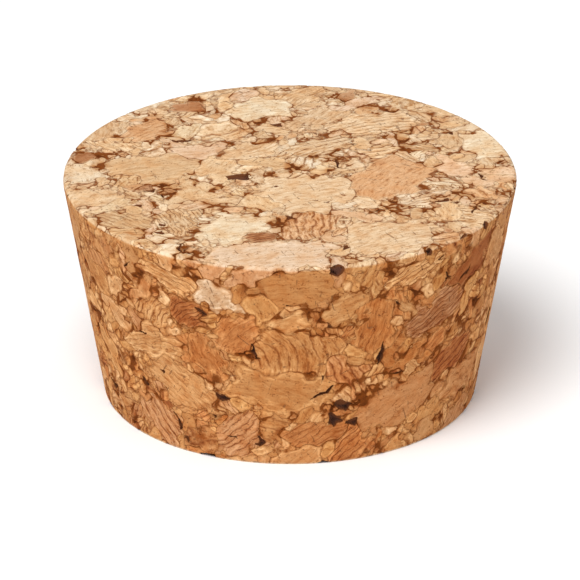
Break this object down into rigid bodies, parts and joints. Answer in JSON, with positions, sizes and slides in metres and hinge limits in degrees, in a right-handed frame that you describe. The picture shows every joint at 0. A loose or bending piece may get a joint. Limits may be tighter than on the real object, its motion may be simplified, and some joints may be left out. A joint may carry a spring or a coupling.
{
  "type": "cork stopper",
  "caption": "Tapered stopper of agglomerated cork: a short, wide cone frustum with two flat sanded ends, crisp edges, and cracks and pockets between its crumbs.",
  "frame": {"origin": "centre of the small end, which is the face that the stopper stands on", "axes": "+Z along the axis from the small end to the wide end; +X to the right and +Y away from a viewer in front"},
  "size_m": [0.0448, 0.0448, 0.023],
  "materials": {
    "cork": "sanded agglomerated cork, matt, uncoated"
  },
  "bodies": {
    "root": {"stopper": "cork"}
  },
  "joints": []
}
